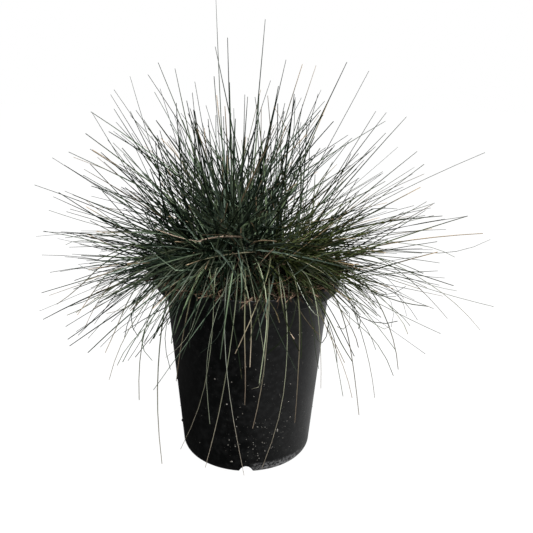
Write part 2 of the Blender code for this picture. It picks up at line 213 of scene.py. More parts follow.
def noise(tree, scale, detail=3.0):
    """Add a noise in Object coordinates and return its value."""
    place = add_node(tree, "ShaderNodeTexCoord").outputs["Object"]
    inputs = {"Vector": place, "Scale": scale, "Detail": detail}
    return add_node(tree, "ShaderNodeTexNoise", inputs).outputs["Fac"]


def mark(tree, name):
    """Add a node that reads a mark of the points, and return its value."""
    return add_node(tree, "ShaderNodeAttribute", attribute_name=name).outputs["Fac"]


def new_material(name, roughness, specular=0.5):
    """Start a material and return it with its node tree and its shader."""
    made = bpy.data.materials.new(name)
    made.use_nodes = True
    shader = made.node_tree.nodes["Principled BSDF"]
    shader.inputs["Roughness"].default_value = roughness
    shader.inputs["Specular IOR Level"].default_value = specular
    return made, made.node_tree, shader


# %% Shared effects
COLOUR, NUMBER, VECTOR = "NodeSocketColor", "NodeSocketFloat", "NodeSocketVector"
GREY = (0.5, 0.5, 0.5, 1)


def new_group(name, inputs, outputs):
    """Start a node group with named sockets and return it with the sockets inside it."""
    group = bpy.data.node_groups.new(name, "ShaderNodeTree")
    for socket, (kind, default) in inputs.items():
        group.interface.new_socket(socket, in_out="INPUT", socket_type=kind).default_value = default
    for socket, kind in outputs.items():
        group.interface.new_socket(socket, in_out="OUTPUT", socket_type=kind)
    return group, group.nodes.new("NodeGroupInput").outputs, group.nodes.new("NodeGroupOutput").inputs


def use_group(tree, group, inputs):
    """Place a node group in a material with its own values, and return its outputs."""
    node = tree.nodes.new("ShaderNodeGroup")
    node.node_tree = group
    return fill(tree, node, inputs).outputs


def build_patches():
    """Soft patches: noise at a scale, stretched to a mask between two thresholds."""
    group, given, out = new_group(
        "patches", {"Scale": (NUMBER, 50.0), "From": (NUMBER, 0.4), "To": (NUMBER, 0.6)}, {"Mask": NUMBER})
    mask = mapped(group, noise(group, given["Scale"], 4.0), given["From"], given["To"])
    group.links.new(mask, out["Mask"])
    return group


def build_grain():
    """A normal that fine noise tips, by its height in metres."""
    group, given, out = new_group(
        "grain", {"Scale": (NUMBER, 800.0), "Height": (NUMBER, 0.0002)}, {"Normal": VECTOR})
    bump = add_node(group, "ShaderNodeBump", {
        "Strength": 1.0, "Distance": given["Height"], "Height": noise(group, given["Scale"])})
    group.links.new(bump.outputs["Normal"], out["Normal"])
    return group


def build_leaf_tints():
    """The colour of a grass leaf from its marks: a tone between two tints, streaked, with a tinted foot.

    Where a leaf is dry the streaks reach into the straw, and a leaf without any dryness has none.
    """
    group, given, out = new_group("leaf_tints", {
        "Along": (NUMBER, 0.5), "Tone": (NUMBER, 0.5), "Warm": (NUMBER, 0.0), "Dry": (NUMBER, 0.0),
        "Dark Tint": (COLOUR, GREY), "Bright Tint": (COLOUR, GREY), "Warm Tint": (COLOUR, GREY),
        "Foot Tint": (COLOUR, GREY), "Straw Tint": (COLOUR, GREY),
    }, {"Colour": COLOUR})
    streak = mapped(group, noise(group, 420.0), 0.3, 0.7, -0.2, 0.2)
    bright = mixed(group, given["Warm"], given["Bright Tint"], given["Warm Tint"])
    strength = reckoned(group, "ADD", reckoned(group, "MULTIPLY", streak, 2.2), 1.0)
    green = mixed(group, reckoned(group, "MULTIPLY", given["Tone"], strength), given["Dark Tint"], bright)
    foot = mapped(group, given["Along"], 0.02, 0.16, 0.8, 0.0)
    footed = mixed(group, foot, green, given["Foot Tint"])
    dry_at_all = reckoned(group, "GREATER_THAN", given["Dry"], 0.03)
    dryness = reckoned(group, "MULTIPLY", reckoned(group, "ADD", given["Dry"], streak), dry_at_all)
    group.links.new(mixed(group, dryness, footed, given["Straw Tint"]), out["Colour"])
    return group


PATCHES, GRAIN, LEAF_TINTS = build_patches(), build_grain(), build_leaf_tints()
print("groups:", [group.name for group in bpy.data.node_groups])

# %% [markdown]
# ## Leaf finish
#
# Fescue leaves are green with a thin bluish wax on them, nearly black in the shade of their neighbours and
# grey-green in the light. Their feet are brown, and the old ones dry to straw from the tip down. One function
# makes all these finishes from five tints: dark, bright, warm, foot and straw. It makes the blue leaves of
# the main dome, the yellower ones of the side dome, the hanging ones, whose brighter tints are painted light
# that stands for the front light catching them, and the dry ones. The dead leaves and old sheaths further
# down use it too.

# %% Leaf materials
LEAF_SHEEN = 0.07


def leaf_material(name, dark, bright, warm, foot, straw, roughness=0.45):
    """Return a leaf finish that reads the marks along, tone, warm and dry."""
    made, tree, shader = new_material(name, roughness, LEAF_SHEEN)
    tints = use_group(tree, LEAF_TINTS, {
        "Along": mark(tree, "along"), "Tone": mark(tree, "tone"), "Warm": mark(tree, "warm"),
        "Dry": mark(tree, "dry"), "Dark Tint": (*dark, 1), "Bright Tint": (*bright, 1),
        "Warm Tint": (*warm, 1), "Foot Tint": (*foot, 1), "Straw Tint": (*straw, 1)})
    grain = use_group(tree, GRAIN, {"Scale": 900.0, "Height": 0.00008})
    fill(tree, shader, {"Base Color": tints["Colour"], "Normal": grain["Normal"]})
    return made


BLUE_LEAF = leaf_material("fescue_blue", (0.003, 0.007, 0.0035), (0.310, 0.410, 0.330),
                          (0.260, 0.340, 0.165), (0.030, 0.036, 0.014), (0.26, 0.19, 0.12))
OLIVE_LEAF = leaf_material("fescue_olive", (0.005, 0.009, 0.002), (0.200, 0.245, 0.120),
                           (0.190, 0.215, 0.060), (0.035, 0.034, 0.010), (0.25, 0.18, 0.10))
# painted light: tints brighter than the blue leaves', standing for the front light that catches the hanging
# leaves
HANGING_LEAF_PAINTED_LIT = leaf_material("hanging_leaf_painted_lit", (0.012, 0.018, 0.008), (0.600, 0.660, 0.560),
                             (0.530, 0.580, 0.380), (0.030, 0.036, 0.014), (0.42, 0.35, 0.28))
DRY_LEAF = leaf_material("dried_leaf", (0.012, 0.016, 0.008), (0.300, 0.330, 0.230),
                         (0.270, 0.270, 0.150), (0.05, 0.038, 0.020), (0.330, 0.255, 0.195), 0.7)
print("leaf finishes:", [leaf.name for leaf in (BLUE_LEAF, OLIVE_LEAF, HANGING_LEAF_PAINTED_LIT, DRY_LEAF)])

# %% [markdown]
# ## Turned shapes
#
# The pot, its soil and the crown are all near enough round to be turned on one axis. A turned shape is a
# grid: the profile gives each row a radius and a height, and the columns go round. Both may differ from
# column to column, which presses channels into a base or makes a mound lumpy. The first and the last row
# close on the axis in a point.

# %% Turning
def placed(radius, angle, height):
    """Points at a distance from the axis, at an angle round it in radians and at a height."""
    return np.stack([radius * np.cos(angle), radius * np.sin(angle), height], -1)


def turned(radius, height, angle):
    """Points and faces of a turned body with rows of radius and height, given for each row and angle."""
    rows, columns = radius.shape
    ring = placed(radius, angle, height)
    poles = np.array([(0, 0, height[0].mean()), (0, 0, height[-1].mean())])
    here = np.arange(columns)
    beside = (here + 1) % columns
    last = (rows - 1) * columns
    first_fan = np.stack([here, beside, np.full(columns, rows * columns)], -1)
    last_fan = np.stack([last + beside, last + here, np.full(columns, rows * columns + 1)], -1)
    faces = [*grid_quads(rows, columns).tolist(), *first_fan.tolist(), *last_fan.tolist()]
    return np.concatenate([ring.reshape(-1, 3), poles]), faces


def rounded(corners, roundings, steps=5):
    """An outline through corners, each cut by a parabola that starts and ends a rounding away from it."""
    corners = np.array(corners, float)
    outline = [corners[0]]
    for before, corner, after, rounding in zip(corners, corners[1:], corners[2:], roundings):
        start = corner + unit(before - corner) * rounding
        end = corner + unit(after - corner) * rounding
        share = np.linspace(0, 1, steps)[:, None]
        outline += list((1 - share) ** 2 * start + 2 * share * (1 - share) * corner + share ** 2 * end)
    return np.array([*outline, corners[-1]])


def densified(outline, longest):
    """The same outline with points added, so that no stretch is longer than asked."""
    pieces = []
    for start, end in zip(outline, outline[1:]):
        count = max(1, math.ceil(np.linalg.norm(end - start) / longest))
        pieces.append(start + (end - start) * np.arange(count)[:, None] / count)
    return np.concatenate([*pieces, outline[-1:]])


print("a rounded corner:", rounded([(0, 0), (1, 0), (1, 1)], [0.2], 3).round(2).tolist())

# %% [markdown]
# ## The pot
#
# A nursery pot is blown or pressed from thin black plastic: a tall collar stiffens the rim, the body
# tapers to a rounded bottom edge, and channels in the base let water out to the sides. It is one profile
# turned round the axis, down the inside and up the outside, with the channels raised afterwards wherever
# the base lies lower than a channel's roof. Boolean cuts could make the channels too, but raised points
# keep the wall in one even grid.

# %% Pot profile
CHANNEL_AZIMUTHS = np.radians([270, 0, 90, 180])
CHANNEL_HALF_WIDTH = 6.3 * MM
CHANNEL_HEIGHT = 9.2 * MM
CHANNEL_START = 22 * MM
LIP_RISE = 0.6 * MM
COLLAR_ROUNDINGS = (0.9 * MM, 1.1 * MM)
INSIDE_STEP, OUTSIDE_STEP = 3.5 * MM, 2.3 * MM


def wall_outline(inset):
    """Radius and height from the rim down to the middle of the base, moved inwards by an inset."""
    arc = np.linspace(0, math.pi / 2, 14)
    bottom = np.stack([BASE_RADIUS - BASE_ROUND + (BASE_ROUND - inset) * np.cos(arc),
                       BASE_ROUND - (BASE_ROUND - inset) * np.sin(arc)], -1)
    ledge = COLLAR_FOOT + inset
    corners = [(RIM_RADIUS - inset, POT_HEIGHT - LIP_RISE), (RIM_RADIUS - COLLAR_TAPER - inset, ledge),
               (BODY_TOP_RADIUS - inset, ledge), bottom[0]]
    return np.concatenate([rounded(corners, COLLAR_ROUNDINGS), bottom[1:], [(1.0 * MM, inset)]])


LIP_ARC = np.linspace(0, math.pi, 9)[1:-1]
lip = np.stack([RIM_RADIUS - WALL / 2 - WALL / 2 * np.cos(LIP_ARC),
                POT_HEIGHT - LIP_RISE + LIP_RISE * np.sin(LIP_ARC)], -1)
inside = densified(wall_outline(WALL)[::-1], INSIDE_STEP)
outside = densified(wall_outline(0), OUTSIDE_STEP)
print("profile points:", len(inside), "inside,", len(lip), "on the lip,", len(outside), "outside")


# %% Pot surface
def channel_roof(points, growth):
    """Height of the channels' half-round roofs over a place on the base, grown by a thickness.

    Across a channel the roof is a half ellipse; before its inner end and beyond its sides it is 0.
    """
    roof = np.zeros(points.shape[:-1])
    for azimuth in CHANNEL_AZIMUTHS:
        out = points[..., 0] * math.cos(azimuth) + points[..., 1] * math.sin(azimuth)
        across = points[..., 1] * math.cos(azimuth) - points[..., 0] * math.sin(azimuth)
        share = np.clip(across / (CHANNEL_HALF_WIDTH + growth), -1, 1)
        here = (CHANNEL_HEIGHT + growth) * np.sqrt(1 - share ** 2)
        roof = np.maximum(roof, np.where(out > CHANNEL_START - growth, here, 0))
    return roof


def spaced_angles(fine=0.5, coarse=2.0, reach=15.0, apart=0.8):
    """Angles round the pot: fine steps within reach of a channel, coarse ones elsewhere, in degrees.

    The coarse ones stay apart from the last fine one, so that no two columns nearly meet.
    """
    near = np.radians(np.arange(-reach, reach + 0.1, fine))
    close = (CHANNEL_AZIMUTHS[:, None] + near).ravel() % math.tau
    wide = np.radians(np.arange(0, 360, coarse))
    distance = np.abs((wide[:, None] - CHANNEL_AZIMUTHS + math.pi) % math.tau - math.pi).min(-1)
    return np.sort(np.concatenate([close, wide[distance > np.radians(reach + apart)]]))


pot_angles = spaced_angles()
pot_outline = np.concatenate([inside, lip, outside])
growths = np.repeat([WALL, 0], [len(inside), len(lip) + len(outside)])[:, None]
pot_radius = np.repeat(pot_outline[:, :1], len(pot_angles), 1)
pot_level = np.repeat(pot_outline[:, 1:], len(pot_angles), 1)
pot_plan = placed(pot_radius, pot_angles, pot_level)
roofs = np.where(growths > 0, channel_roof(pot_plan, WALL), channel_roof(pot_plan, 0))
pot_level = np.maximum(pot_level, roofs)
pot_points, pot_faces = turned(pot_radius, pot_level, pot_angles)
print("pot:", len(pot_points), "points round", len(pot_angles), "angles")

# %% [markdown]
# ## Black plastic
#
# The plastic is nearly black and neither glossy nor dull. It is lightly pebbled, and dust greys it a little
# in patches of three sizes: wide clouds, which are also rougher, a mottling, and pale specks. Low on the
# bottom edge, to the right of the front channel, a streaky grey band is painted on: a painted highlight that
# stands for the lit floor's reflection.

# %% Pot material
def black_plastic():
    """Return near-black plastic with a pebbled grain, dusty patches, pale specks and a painted gleam.

    The painted gleam is a streaky grey band, a painted reflection of the lit floor. It lies low on the bottom
    edge, to the right of the front channel, and fades out to every side.
    """
    made, tree, shader = new_material("black_plastic", 0.5, 0.2)
    cloudy = use_group(tree, PATCHES, {"Scale": 26.0, "From": 0.42, "To": 0.72})["Mask"]
    mottled = use_group(tree, PATCHES, {"Scale": 190.0, "From": 0.45, "To": 0.75})["Mask"]
    specked = use_group(tree, PATCHES, {"Scale": 620.0, "From": 0.66, "To": 0.76})["Mask"]
    dusty = mixed(tree, cloudy, (0.0012, 0.0014, 0.0015, 1), (0.0028, 0.0031, 0.0032, 1))
    mottling = mixed(tree, mottled, dusty, (0.0130, 0.0134, 0.0136, 1))
    speckled = mixed(tree, specked, mottling, (0.0700, 0.0700, 0.0660, 1))
    place = add_node(tree, "ShaderNodeTexCoord").outputs["Object"]
    where = add_node(tree, "ShaderNodeSeparateXYZ", {0: place}).outputs
    low = mapped(tree, where["Z"], 13 * MM, 3.5 * MM)
    rightwards = mapped(tree, where["X"], 3 * MM, 9 * MM)
    leftwards = mapped(tree, where["X"], 62 * MM, 44 * MM)
    to_the_front = mapped(tree, where["Y"], -10 * MM, -25 * MM)
    # painted highlight: a streaky grey band on the bottom edge, right of the front channel, stands for the
    # lit floor's reflection
    gleam_streaks = mapped(tree, noise(tree, 420.0, 5.0), 0.42, 0.66, 0.05, 1.1)
    edge = reckoned(tree, "MULTIPLY", reckoned(tree, "MULTIPLY", rightwards, leftwards), to_the_front)
    painted_gleam = reckoned(tree, "MULTIPLY", reckoned(tree, "MULTIPLY", low, edge), gleam_streaks)
    plastic_with_gleam = mixed(tree, painted_gleam, speckled, (0.6000, 0.6000, 0.6100, 1))
    grain = use_group(tree, GRAIN, {"Scale": 1300.0, "Height": 0.00012})
    fill(tree, shader, {
        "Base Color": plastic_with_gleam, "Roughness": mapped(tree, cloudy, 0.0, 1.0, 0.30, 0.42),
        "Normal": grain["Normal"]})
    return made


pot = add_piece("nursery_pot_wall", pot_points, pot_faces, black_plastic(), "black_plastic",
                ["nursery_pot"], 35)
print("pot piece:", len(pot.data.polygons), "faces")

# %% [markdown]
# ## Drain holes
#
# Water leaves the pot through a round hole in the roof of each channel. A Boolean cut drills it. Such a cut
# fails where edges fall on each other, so the drills are turned and moved a hair off the pot's own columns.
# The channels' roofs bend the pot's four-sided faces, so these are split into flat triangles first.

# %% Drilling
DRAIN_RADIUS = 3.0 * MM
DRAIN_DISTANCE = 36.15 * MM
DRILL_SIDES = 24
DRILL_TURN = 0.07
DRILL_SHIFT = 0.003


def drill_drains(pot):
    """Cut a round hole through the roof of each channel, then keep the cut mesh and drop the drills."""
    angle = np.linspace(0, math.tau, DRILL_SIDES, endpoint=False) + DRILL_TURN
    drills = []
    pot.modifiers.new("flat_faces", "TRIANGULATE")
    for azimuth in CHANNEL_AZIMUTHS:
        radius = np.full((2, DRILL_SIDES), DRAIN_RADIUS)
        height = np.array([[2 * BASE_ROUND], [-BASE_ROUND]]) * np.ones(DRILL_SIDES)
        points, faces = turned(radius, height, angle)
        out = azimuth + DRILL_SHIFT
        points += np.array([math.cos(out), math.sin(out), 0]) * DRAIN_DISTANCE
        mesh = bpy.data.meshes.new("drill")
        mesh.from_pydata(points.tolist(), [], faces)
        drills.append(bpy.data.objects.new("drill", mesh))
        bpy.context.scene.collection.objects.link(drills[-1])
        cut = pot.modifiers.new("drain", "BOOLEAN")
        cut.object = drills[-1]
    evaluated = pot.evaluated_get(bpy.context.evaluated_depsgraph_get())
    cut_mesh = bpy.data.meshes.new_from_object(evaluated)
    pot.modifiers.clear()
    pot.data = cut_mesh
    for drill in drills:
        bpy.data.objects.remove(drill, do_unlink=True)


drill_drains(pot)
print("pot piece with its drains:", len(pot.data.polygons), "faces")

# %% [markdown]
# ## Potting mix
#
# The mix fills the pot to a little below the rim. Its top is a lumpy surface of bark and fibre, so the
# height of its grid is the sum of long and short random bumps; crumbs of bark lie loose on it. The sides
# only have to follow the inside of the wall.

# %% Soil
def potting_mix():
    """Return damp dark mix with brown fibres and a rough grain, its dark clods partly painted shade: kept
    nearly black for the shade under the leaves.
    """
    made, tree, shader = new_material("potting_mix", 0.95, 0.05)
    clods = use_group(tree, PATCHES, {"Scale": 240.0, "From": 0.35, "To": 0.7})["Mask"]
    fibres = use_group(tree, PATCHES, {"Scale": 700.0, "From": 0.6, "To": 0.75})["Mask"]
    # partly painted shade: the clods are kept nearly black for the shade under the leaves
    dark = mixed(tree, clods, (0.002, 0.0015, 0.0011, 1), (0.012, 0.008, 0.005, 1))
    grain = use_group(tree, GRAIN, {"Scale": 500.0, "Height": 0.0012})
    fill(tree, shader, {"Base Color": mixed(tree, fibres, dark, (0.060, 0.039, 0.022, 1)),
                        "Normal": grain["Normal"]})
    return made


SOIL_ANGLES = np.linspace(0, math.tau, 240, endpoint=False)
TOP_ROWS = 60
COLLAR_POINTS = 8    # points of wall_outline on the collar and its ledge, which the soil stays below
soil_side = densified(wall_outline(WALL + GAP)[COLLAR_POINTS:], 6 * MM)
soil_side = soil_side[soil_side[:, 1] < SOIL_HEIGHT - 3 * MM]
top_radius = np.linspace(1 * MM, soil_side[0, 0], TOP_ROWS)
top_level = np.full(TOP_ROWS, SOIL_HEIGHT - 1.5 * MM)
soil_radius = np.repeat(np.concatenate([top_radius, soil_side[:, 0]])[:, None], len(SOIL_ANGLES), 1)
soil_level = np.repeat(np.concatenate([top_level, soil_side[:, 1]])[:, None], len(SOIL_ANGLES), 1)
soil_plan = placed(soil_radius, SOIL_ANGLES, soil_level)
soil_top = soil_plan[:TOP_ROWS]
soil_level[:TOP_ROWS] += (1.0 * rumple(soil_top, 18 * MM, 1) + 0.6 * rumple(soil_top, 4 * MM, 2)) * MM
soil_level = np.maximum(soil_level, channel_roof(soil_plan, WALL + GAP))
soil_points, soil_faces = turned(soil_radius, soil_level, SOIL_ANGLES)
SOIL_FINISH = potting_mix()
add_piece("potting_mix_plug", soil_points, soil_faces, SOIL_FINISH, "potting_mix", ["potting_soil"], 60)
print("soil faces:", len(soil_faces))


# %% Crumbs
def lumps(places, sizes, seed):
    """Small uneven lumps: a ball of 3 rings of 6 points for each place, with every point pushed in or out."""
    random = np.random.default_rng(seed)
    lean = np.radians([35, 90, 145])[:, None] * np.ones(6)
    ball, one = turned(np.sin(lean), np.cos(lean), np.linspace(0, math.tau, 6, endpoint=False))
    ball[-2:] = (0, 0, 1), (0, 0, -1)
    push = random.uniform(0.65, 1.15, (len(places), len(ball), 1))
    stretch = random.uniform(0.6, 1.4, (len(places), 1, 3))
    points = places[:, None] + ball * push * stretch * sizes[:, None, None]
    faces = [[corner + len(ball) * lump for corner in face] for lump in range(len(places)) for face in one]
    return points, faces


CRUMBS = 700
FARTHEST_CRUMB = 71 * MM
crumb_random = np.random.default_rng(3)
crumb_angle = crumb_random.uniform(0, math.tau, CRUMBS)
crumb_radius = FARTHEST_CRUMB * np.sqrt(crumb_random.uniform(0.2, 1, CRUMBS))
crumb_places = placed(crumb_radius, crumb_angle, np.full(CRUMBS, SOIL_HEIGHT - 0.8 * MM))
crumb_points, crumb_faces = lumps(crumb_places, crumb_random.uniform(0.5, 2.2, CRUMBS) * MM, 4)
add_piece("bark_crumbs", crumb_points, crumb_faces, SOIL_FINISH, "potting_mix")
print("crumbs:", len(crumb_places))

# %% [markdown]
# ## The crown
#
# Under the leaves lies a mound of old leaf bases. It is turned like the pot, but about an axis between the
# two hearts: for each angle the mound runs from its top to where the higher of the two domes meets the
# soil. Random bumps make it lumpy.

# %% Mound
def dome_height(plan):
    """Height of the higher of the two domes over a place: heart height plus the root of r2 minus d2."""
    heights = [heart[2] + np.sqrt(np.maximum(radius ** 2 - ((plan - heart[:2]) ** 2).sum(-1), 0))
               for heart, radius in (MAIN_DOME, SIDE_DOME)]
    return np.maximum(*heights)


def mound_edge(angle):
    """Distance from the axis at which the farther of the two domes meets the soil."""
    way = np.stack([np.cos(angle), np.sin(angle)], -1)
    reach = []
    for heart, radius in (MAIN_DOME, SIDE_DOME):
        foot = radius ** 2 - (SOIL_HEIGHT - heart[2]) ** 2
        ahead = way @ heart[:2]
        reach.append(ahead + np.sqrt(np.maximum(foot - heart[:2] @ heart[:2] + ahead ** 2, 0)))
    return np.maximum(*reach)


MOUND_ANGLES = np.linspace(0, math.tau, 160, endpoint=False)
MOUND_ROWS = 50
UNDER_THE_LEAVES = 0.97
mound_share = np.concatenate([np.linspace(0.02, 1, MOUND_ROWS), [0.97, 0.02]])
mound_radius = mound_share[:, None] * mound_edge(MOUND_ANGLES) * UNDER_THE_LEAVES
mound_plan = placed(mound_radius, MOUND_ANGLES, 0 * mound_radius)[..., :2]
mound_level = np.maximum(dome_height(mound_plan), SOIL_HEIGHT) - 1.5 * MM
smooth_mound = placed(mound_radius, MOUND_ANGLES, mound_level)
mound_level += (1.5 * rumple(smooth_mound, 14 * MM, 5) + 0.7 * rumple(smooth_mound, 3.5 * MM, 6)) * MM
mound_level[MOUND_ROWS:] = SOIL_HEIGHT - 3 * MM
mound_points, mound_faces = turned(mound_radius, mound_level, MOUND_ANGLES)


def mound_material():
    """Return the brown of rotted leaf bases in random patches, painted nearly black as shade under the
    leaves.
    """
    made, tree, shader = new_material("rotted_bases", 0.95, 0.05)
    patches = use_group(tree, PATCHES, {"Scale": 300.0, "From": 0.4, "To": 0.75})["Mask"]
    grain = use_group(tree, GRAIN, {"Scale": 420.0, "Height": 0.0012})
    # painted shade: both browns are kept nearly black to stand for the shade between the leaves
    brown = mixed(tree, patches, (0.0012, 0.0010, 0.0008, 1), (0.010, 0.006, 0.004, 1))
    fill(tree, shader, {"Base Color": brown, "Normal": grain["Normal"]})
    return made


add_piece("crown_mound", mound_points, mound_faces, mound_material(), "old_sheaths", ["crown"], 60)
print("mound faces:", len(mound_faces))

# %% [markdown]
# ## Leaf lines
#
# A leaf grows straight out of its sheath and bends under its own weight, which a Bezier curve draws well:
# its first stretch sets the direction of growth and its last corner is the tip. Curve objects could draw
# it too, but there are thousands of leaves, so all those of a tuft are worked out at once as arrays. A
# second helper bends finished lines: it cuts them into short steps, turns each step about the leaf's own
# axis and adds the steps up again, which makes waves, kinks and curls alike. A third one keeps the lines
# off the pot: a leaf can only leave it over the lip.

# %% Lines
CLEARANCE = 1.6 * MM
INNER_SLOPE = np.array([(62, 158), (70.5, 165.2), (77, 166), (80.3, 176.1)]) * MM    # radius, lowest height


def directions(azimuth, lean, sideways=0.0):
    """Unit vectors that lean from straight up towards an azimuth, then a little sideways, in degrees."""
    azimuth, lean, sideways = (np.radians(angle) for angle in np.broadcast_arrays(azimuth, lean, sideways))
    level = np.stack([np.cos(azimuth), np.sin(azimuth), 0 * azimuth], -1)
    aside = np.stack([-np.sin(azimuth), np.cos(azimuth), 0 * azimuth], -1)
    leant = level * np.sin(lean)[..., None] + np.array([0, 0, 1.0]) * np.cos(lean)[..., None]
    return unit(leant + aside * np.tan(sideways)[..., None])


def bezier(corners, stations):
    """Points of many Bezier curves: every corner, weighed by its share at each station, summed.

    The corners are arrays of one place per leaf; the result has a row of stations per leaf.
    """
    degree = len(corners) - 1
    share = np.linspace(0, 1, stations)
    weights = [math.comb(degree, i) * share ** i * (1 - share) ** (degree - i) for i in range(degree + 1)]
    return np.einsum("cs,clx->lsx", weights, np.array(corners))


def bend_axes(chords, random):
    """A random axis for each leaf to bend about, square to its chord."""
    return unit(np.cross(unit(chords), random.normal(size=chords.shape)))


def waves(count, size, stations, random):
    """Bends along each leaf: a random size in degrees times the sine of 1 to 2.5 half turns."""
    size = np.radians(random.normal(0, size, (count, 1)))
    return size * np.sin(math.pi * random.uniform(1, 2.5, (count, 1)) * np.linspace(0, 1, stations - 1))


def bent(lines, axes, angles):
    """Turn each step of each line about the leaf's axis by its own angle, and add the steps up again.

    A step v becomes v cos + (axis x v) sin + axis (axis . v)(1 - cos).
    """
    steps = np.diff(lines, axis=1)
    axes = np.broadcast_to(axes[:, None], steps.shape)
    cosine, sine = np.cos(angles)[..., None], np.sin(angles)[..., None]
    lengthways = axes * (axes * steps).sum(-1, keepdims=True)
    turned_steps = steps * cosine + np.cross(axes, steps) * sine + lengthways * (1 - cosine)
    start = lines[:, :1]
    return np.concatenate([start, start + np.cumsum(turned_steps, 1)], 1)


def wall_radius(height):
    """Radius of the pot's outside at a height: the tapered body, and the collar above it."""
    share = (height - BASE_ROUND) / (COLLAR_FOOT - BASE_ROUND)
    body = BASE_RADIUS + (BODY_TOP_RADIUS - BASE_RADIUS) * share
    return np.where(height > COLLAR_FOOT - CLEARANCE, RIM_RADIUS, body)


def clear_of_pot(lines):
    """Lift lines that would cut the pot's rim, and push out what would hang inside its wall.

    A line is lifted by what it lacks in height where it first crosses the rim, eased in from its foot.
    Before it crosses, no station is lower than INNER_SLOPE, which runs from the soil over the collar's
    inner ledge and up to the lip.
    """
    station = np.arange(lines.shape[1])
    level = np.hypot(lines[..., 0], lines[..., 1])
    leaves = np.arange(len(lines))
    crosses = (level[:, :-1] < RIM_RADIUS) & (level[:, 1:] >= RIM_RADIUS)
    first = crosses.argmax(1)
    before, after = lines[leaves, first, 2], lines[leaves, first + 1, 2]
    step = (RIM_RADIUS - level[leaves, first]) / (level[leaves, first + 1] - level[leaves, first])
    step = np.where(crosses.any(1), step, 1)
    lack = np.maximum(POT_HEIGHT + CLEARANCE - before - (after - before) * step, 0) * crosses.any(1)
    ease = np.clip(station / (first + step)[:, None], 0, 1)
    lines = lines.copy()
    lines[..., 2] += lack[:, None] * ease ** 2 * (3 - 2 * ease)
    has_crossed = crosses.any(1)[:, None] & (station > first[:, None])
    lowest = np.where(has_crossed, 0, np.interp(level, *INNER_SLOPE.T, left=0))
    lines[..., 2] = np.maximum(lines[..., 2], lowest)
    outside = has_crossed & (lines[..., 2] < POT_HEIGHT)
    wanted = np.where(outside, wall_radius(lines[..., 2]) + CLEARANCE, 0)
    lines[..., :2] *= np.maximum(1, wanted / np.maximum(level, MM))[..., None]
    return lines


print("three stations of a curve:", bezier([[(0, 0, 0)], [(0, 0, 1)], [(1, 0, 1)]], 3).tolist())

# %% [markdown]
# ## Leaf blades
#
# A fescue leaf is folded along its midrib, so its section is a narrow V. Four points draw it: the two
# edges, the keel below and the bottom of the groove above. The section is carried along every line of a
# sheaf at once and gets smaller towards the tip. Flat strips would be lighter still, but they vanish when
# seen edge-on. Thousands of leaves stay light this way too, because each has only a few dozen faces.

# %% Sheaves
BLADE_SECTION = np.array([(-1.0, 0.35), (0.0, -0.55), (1.0, 0.35), (0.0, 0.05)])
ALMOST_UP = np.array([0.01, 0.02, 1.0])


def blade_points(lines, half_widths, roll):
    """Carry the section along each line: across it lies a level vector, rolled about the leaf's chord.

    The level vector is square to the chord and to ALMOST_UP, which no upright leaf is quite parallel to.
    """
    along = unit(np.gradient(lines, axis=1))
    chord = unit(lines[:, -1] - lines[:, 0])
    level = unit(np.cross(chord, ALMOST_UP))
    over = np.cross(level, chord)
    across = (level * np.cos(roll)[:, None] + over * np.sin(roll)[:, None])[:, None]
    across = unit(across - along * (across * along).sum(-1, keepdims=True))
    face = np.cross(across, along)
    ring = across[:, :, None] * BLADE_SECTION[:, :1] + face[:, :, None] * BLADE_SECTION[:, 1:]
    return lines[:, :, None] + half_widths[..., None, None] * ring


def blade_faces(leaves, stations):
    """Faces of that many closed blades: rings of four faces along each, and a cap at both ends."""
    corners = len(BLADE_SECTION)
    last = (stations - 1) * corners
    caps = [np.arange(corners), last + np.arange(corners)[::-1]]
    one = np.concatenate([grid_quads(stations, corners), caps])
    return (one + stations * corners * np.arange(leaves)[:, None, None]).reshape(-1, corners)


def taper(widths, stations, tip=0.64 * MM, fullness=3.2):
    """Half widths along each leaf: half the tip, plus half the rest times 1 - share to the fullness."""
    share = np.linspace(0, 1, stations)
    return tip / 2 + (widths[:, None] - tip) / 2 * (1 - share ** fullness)


def sheaf_marks(lines, tone, dry, seed):
    """Marks for the points of a sheaf: how far along the leaf, its tone, its warmth and its dryness."""
    leaves, stations = lines.shape[:2]
    every_point = (leaves, stations, len(BLADE_SECTION))
    along = np.linspace(0, 1, stations)[None, :, None]
    warm = np.random.default_rng(seed).uniform(0, 1, leaves)
    marks = {"tone": tone, "warm": warm, "dry": dry}
    spread = {name: np.reshape(value, (leaves, -1, 1)) for name, value in marks.items()}
    return {name: np.broadcast_to(value, every_point) for name, value in {"along": along, **spread}.items()}


def add_sheaf(name, lines, widths, roll, tone, dry, finish, slot, nodes=()):
    """Add a piece of many leaves from their lines, foot widths, rolls, tones and drynesses."""
    points = blade_points(clear_of_pot(lines), taper(widths, lines.shape[1]), roll)
    return add_piece(name, points, blade_faces(*lines.shape[:2]).tolist(), finish, slot, nodes, 30,
                     **sheaf_marks(lines, tone, dry, len(bpy.data.meshes)))


print("faces of one leaf:", len(blade_faces(1, 11)))

# %% [markdown]
# ## The tufts
#
# A hair system could grow the clump, but its leaves wouldn't reach the tips that the solids have. So each
# tuft is a sheaf of its own. Its first leaf ends at the tip of its solid. The others of the sheaf fan out
# round it: their tips are scattered by 15 to 28 degrees and reach a random share of its distance, and
# their feet are scattered over the dome as well, so that neighbouring tufts mingle as they do in a real
# tussock. Nearly all wave slightly, and a few are kinked where they were bent. Their marks make most of
# them dark, because so many stand in each other's shade.

